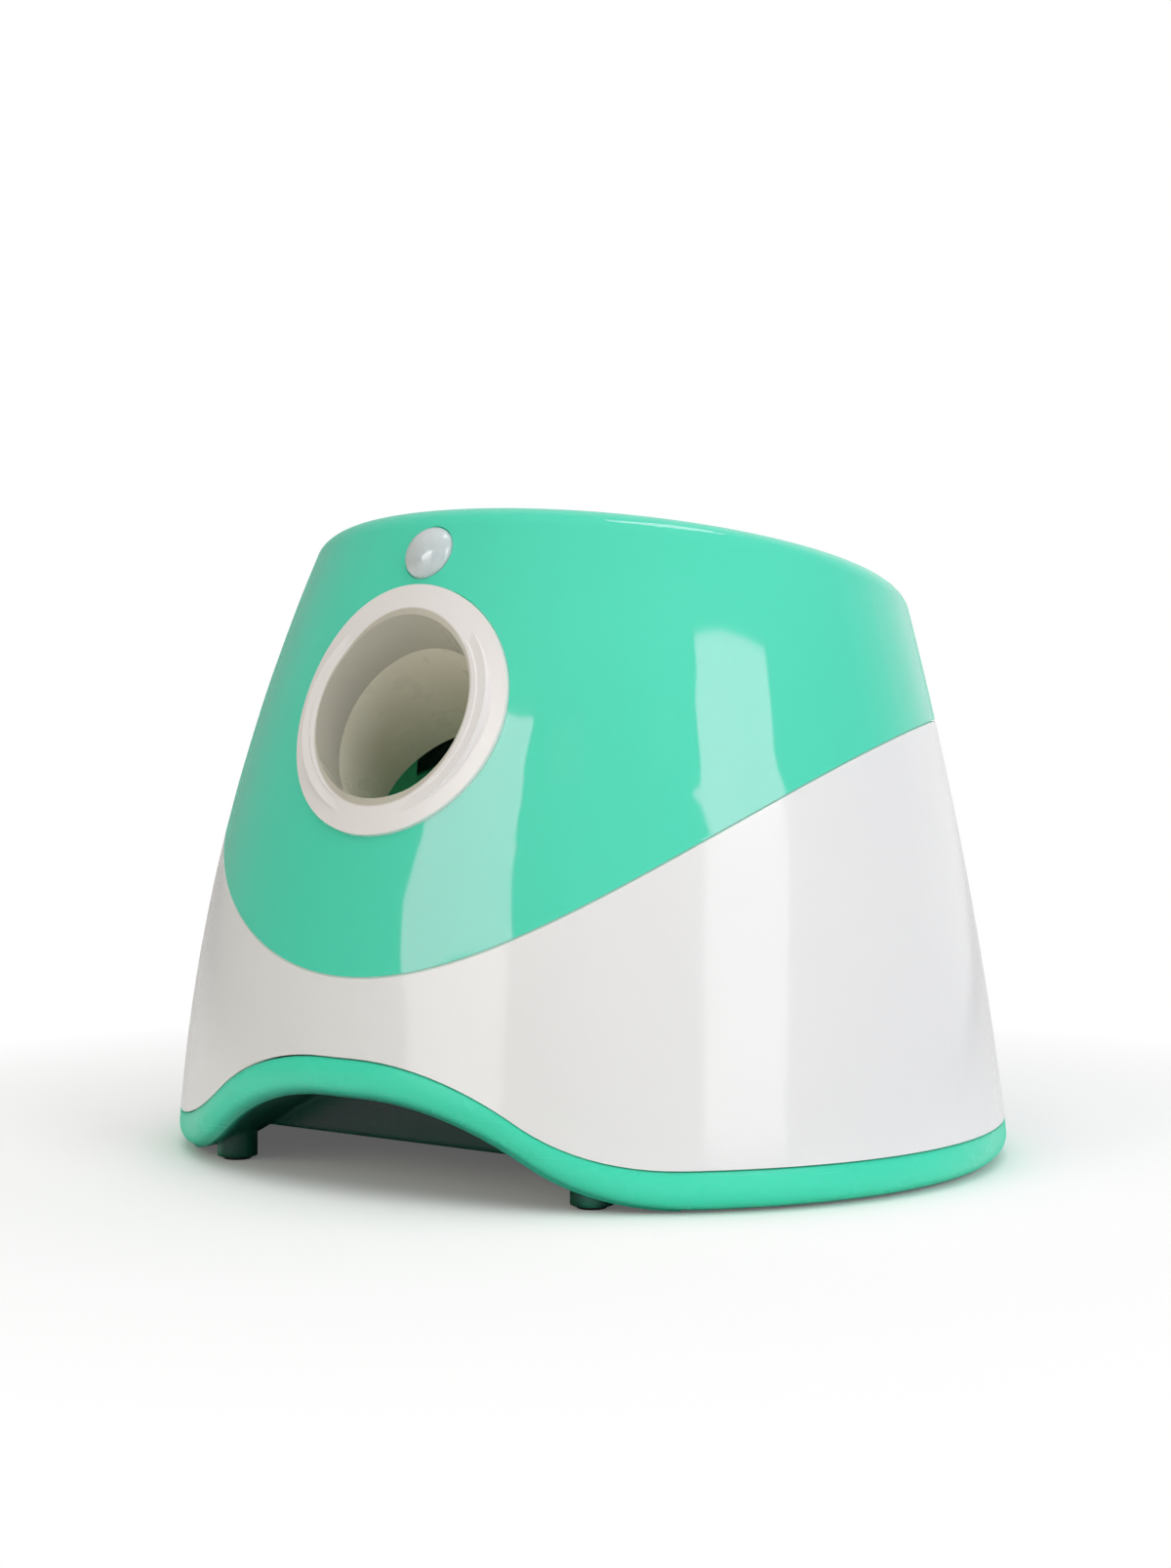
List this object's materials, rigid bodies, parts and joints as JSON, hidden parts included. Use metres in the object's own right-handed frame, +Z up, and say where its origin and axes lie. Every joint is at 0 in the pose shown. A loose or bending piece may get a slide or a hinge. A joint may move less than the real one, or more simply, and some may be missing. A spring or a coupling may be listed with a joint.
{
  "type": "automatic dog ball launcher",
  "caption": "Domed battery ball thrower for dogs with a sloped top hopper, an angled front launch nozzle, a motion sensor, a waved base and a sprung hammer driven by a gear train.",
  "frame": {"origin": "on the floor at the middle of the footprint, below the centre of the body", "axes": "+X across the width, -Y out of the front where the nozzle is, +Z up"},
  "size_m": [0.2646, 0.2359, 0.1939],
  "materials": {
    "shell_green": "glossy moulded",
    "base_green": "glossy moulded",
    "shell_white": "glossy moulded",
    "bezel_white": "satin moulded",
    "inner_grey": "matt moulded",
    "chute_green": "matt moulded",
    "lens_frosted": "frosted, translucent",
    "rubber_dark": "matt",
    "pad_rubber": "matt",
    "steel": "zinc plated",
    "motor_steel": "plated can",
    "brass": "turned",
    "gear_white": "natural acetal",
    "frame_black": "glass-filled nylon",
    "arm_nylon": "natural nylon",
    "board_green": "solder mask",
    "sensor_can": "drawn can",
    "button_white": "glossy moulded",
    "light_clear": "clear moulded",
    "jack_black": "moulded",
    "cell_metal": "sleeved",
    "spring_steel": "spring wire"
  },
  "bodies": {
    "housing": {"upper_shell": "shell_green", "lower_shell": "shell_white", "base": "base_green", "rubber_feet": "rubber_dark", "base_screws": "steel", "shell_screws": "steel", "hopper": "base_green", "nozzle_bezel": "bezel_white", "launch_tube": "inner_grey", "ball_chute": "chute_green", "gate_pin": "steel", "chute_screws": "steel", "sensor_lens": "lens_frosted", "sensor_board": "board_green", "pir_sensor": "sensor_can", "control_panel": "shell_white", "led_light_pipes": "light_clear", "control_board": "board_green", "control_screws": "steel", "dc_jack": "jack_black", "battery_box": "frame_black", "battery_cells": "cell_metal", "battery_contacts": "spring_steel", "gearbox_inner_plate": "frame_black", "gearbox_outer_plate": "frame_black", "hammer_bracket": "frame_black", "gearbox_spacers": "brass", "gearbox_screws": "steel", "hammer_stop": "pad_rubber", "stop_pin": "steel", "drive_axle": "steel", "idler_axle": "steel", "motor": "motor_steel", "motor_screws": "steel", "hammer_spring": "spring_steel", "main_board": "board_green"},
    "hammer": {"hammer_arm": "arm_nylon", "hammer_pad": "pad_rubber", "hammer_shaft": "steel", "sector_gear": "gear_white"},
    "drive_gear": {"drive_gear": "gear_white"},
    "idler_gear": {"idler_gear": "gear_white"},
    "pinion": {"motor_pinion": "brass", "motor_shaft": "steel"},
    "ball_gate": {"ball_gate": "bezel_white"},
    "power_button": {"power_button": "button_white"},
    "distance_button": {"distance_button": "button_white"},
    "battery_door": {"battery_door": "base_green"}
  },
  "joints": [
    {"name": "hammer_swing", "type": "hinge", "parent": "housing", "child": "hammer", "pos_m": [0, -0.05669, 0.03796], "axis": [1, 0, 0], "range_deg": [-45, 0], "stiffness_Nm_per_rad": 0.25, "springref_deg": 20.05, "deforming": ["hammer_spring"]},
    {"name": "drive_gear_spin", "type": "hinge", "parent": "housing", "child": "drive_gear", "pos_m": [0, -0.01169, 0.03796], "axis": [1, 0, 0], "range_deg": [0, 52]},
    {"name": "idler_gear_spin", "type": "hinge", "parent": "housing", "child": "idler_gear", "pos_m": [0, 0.00239, 0.06445], "axis": [1, 0, 0], "range_deg": [-170, 0]},
    {"name": "pinion_spin", "type": "hinge", "parent": "housing", "child": "pinion", "pos_m": [0, 0.0263, 0.06236], "axis": [1, 0, 0], "range_deg": [0, 508]},
    {"name": "ball_gate_swing", "type": "hinge", "parent": "housing", "child": "ball_gate", "pos_m": [0, 0.044, 0.07782], "axis": [1, 0, 0], "range_deg": [0, 20]},
    {"name": "power_button_press", "type": "slide", "parent": "housing", "child": "power_button", "axis": [0, -0.9863, -0.1653], "range_m": [0, 0.0012], "stiffness_N_per_m": 400, "springref_m": -0.001},
    {"name": "distance_button_press", "type": "slide", "parent": "housing", "child": "distance_button", "axis": [0, -0.9863, -0.1653], "range_m": [0, 0.0012], "stiffness_N_per_m": 400, "springref_m": -0.001},
    {"name": "battery_door_swing", "type": "hinge", "parent": "housing", "child": "battery_door", "pos_m": [0, 0.0192, 0.0112], "axis": [1, 0, 0], "range_deg": [-80, 0]}
  ],
  "couplings": [
    {"joint": "drive_gear_spin", "follows": "hammer_swing", "ratio": -1.1429},
    {"joint": "idler_gear_spin", "follows": "hammer_swing", "ratio": 3.7551},
    {"joint": "pinion_spin", "follows": "hammer_swing", "ratio": -11.265}
  ]
}
